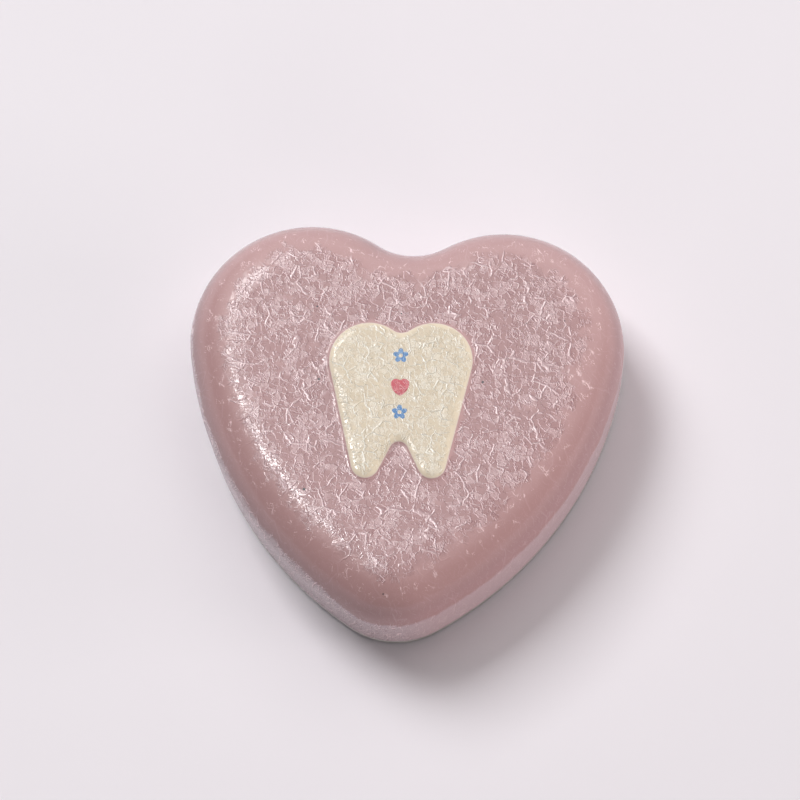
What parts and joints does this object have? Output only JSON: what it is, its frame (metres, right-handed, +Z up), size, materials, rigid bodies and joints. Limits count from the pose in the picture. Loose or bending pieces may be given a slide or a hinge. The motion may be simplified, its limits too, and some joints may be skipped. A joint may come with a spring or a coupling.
{
  "type": "keepsake box",
  "caption": "Small heart-shaped tinplate keepsake box for milk teeth, with a lift-off deep lid that carries a raised tooth and a recessed seamed bottom.",
  "frame": {"origin": "centre of the footprint, on the surface that the box stands on", "axes": "+X across both lobes, to the right seen from the tip; +Y from the tip to the notch; +Z up"},
  "size_m": [0.06, 0.0564, 0.0181],
  "materials": {
    "lid_lacquer": "dusty pink crystal lacquer over tinplate, glossy, with fine crackled cells",
    "bare_tinplate": "bare satin tinplate",
    "seam_tinplate": "bare satin tinplate, folded into a rim at the foot"
  },
  "bodies": {
    "base": {"body_wall": "bare_tinplate", "bottom_plate": "seam_tinplate"},
    "lid": {"lid_shell": "lid_lacquer"}
  },
  "joints": [
    {"name": "lid_lift", "type": "slide", "parent": "base", "child": "lid", "axis": [0, 0, 1], "range_m": [0, 0.04]}
  ]
}
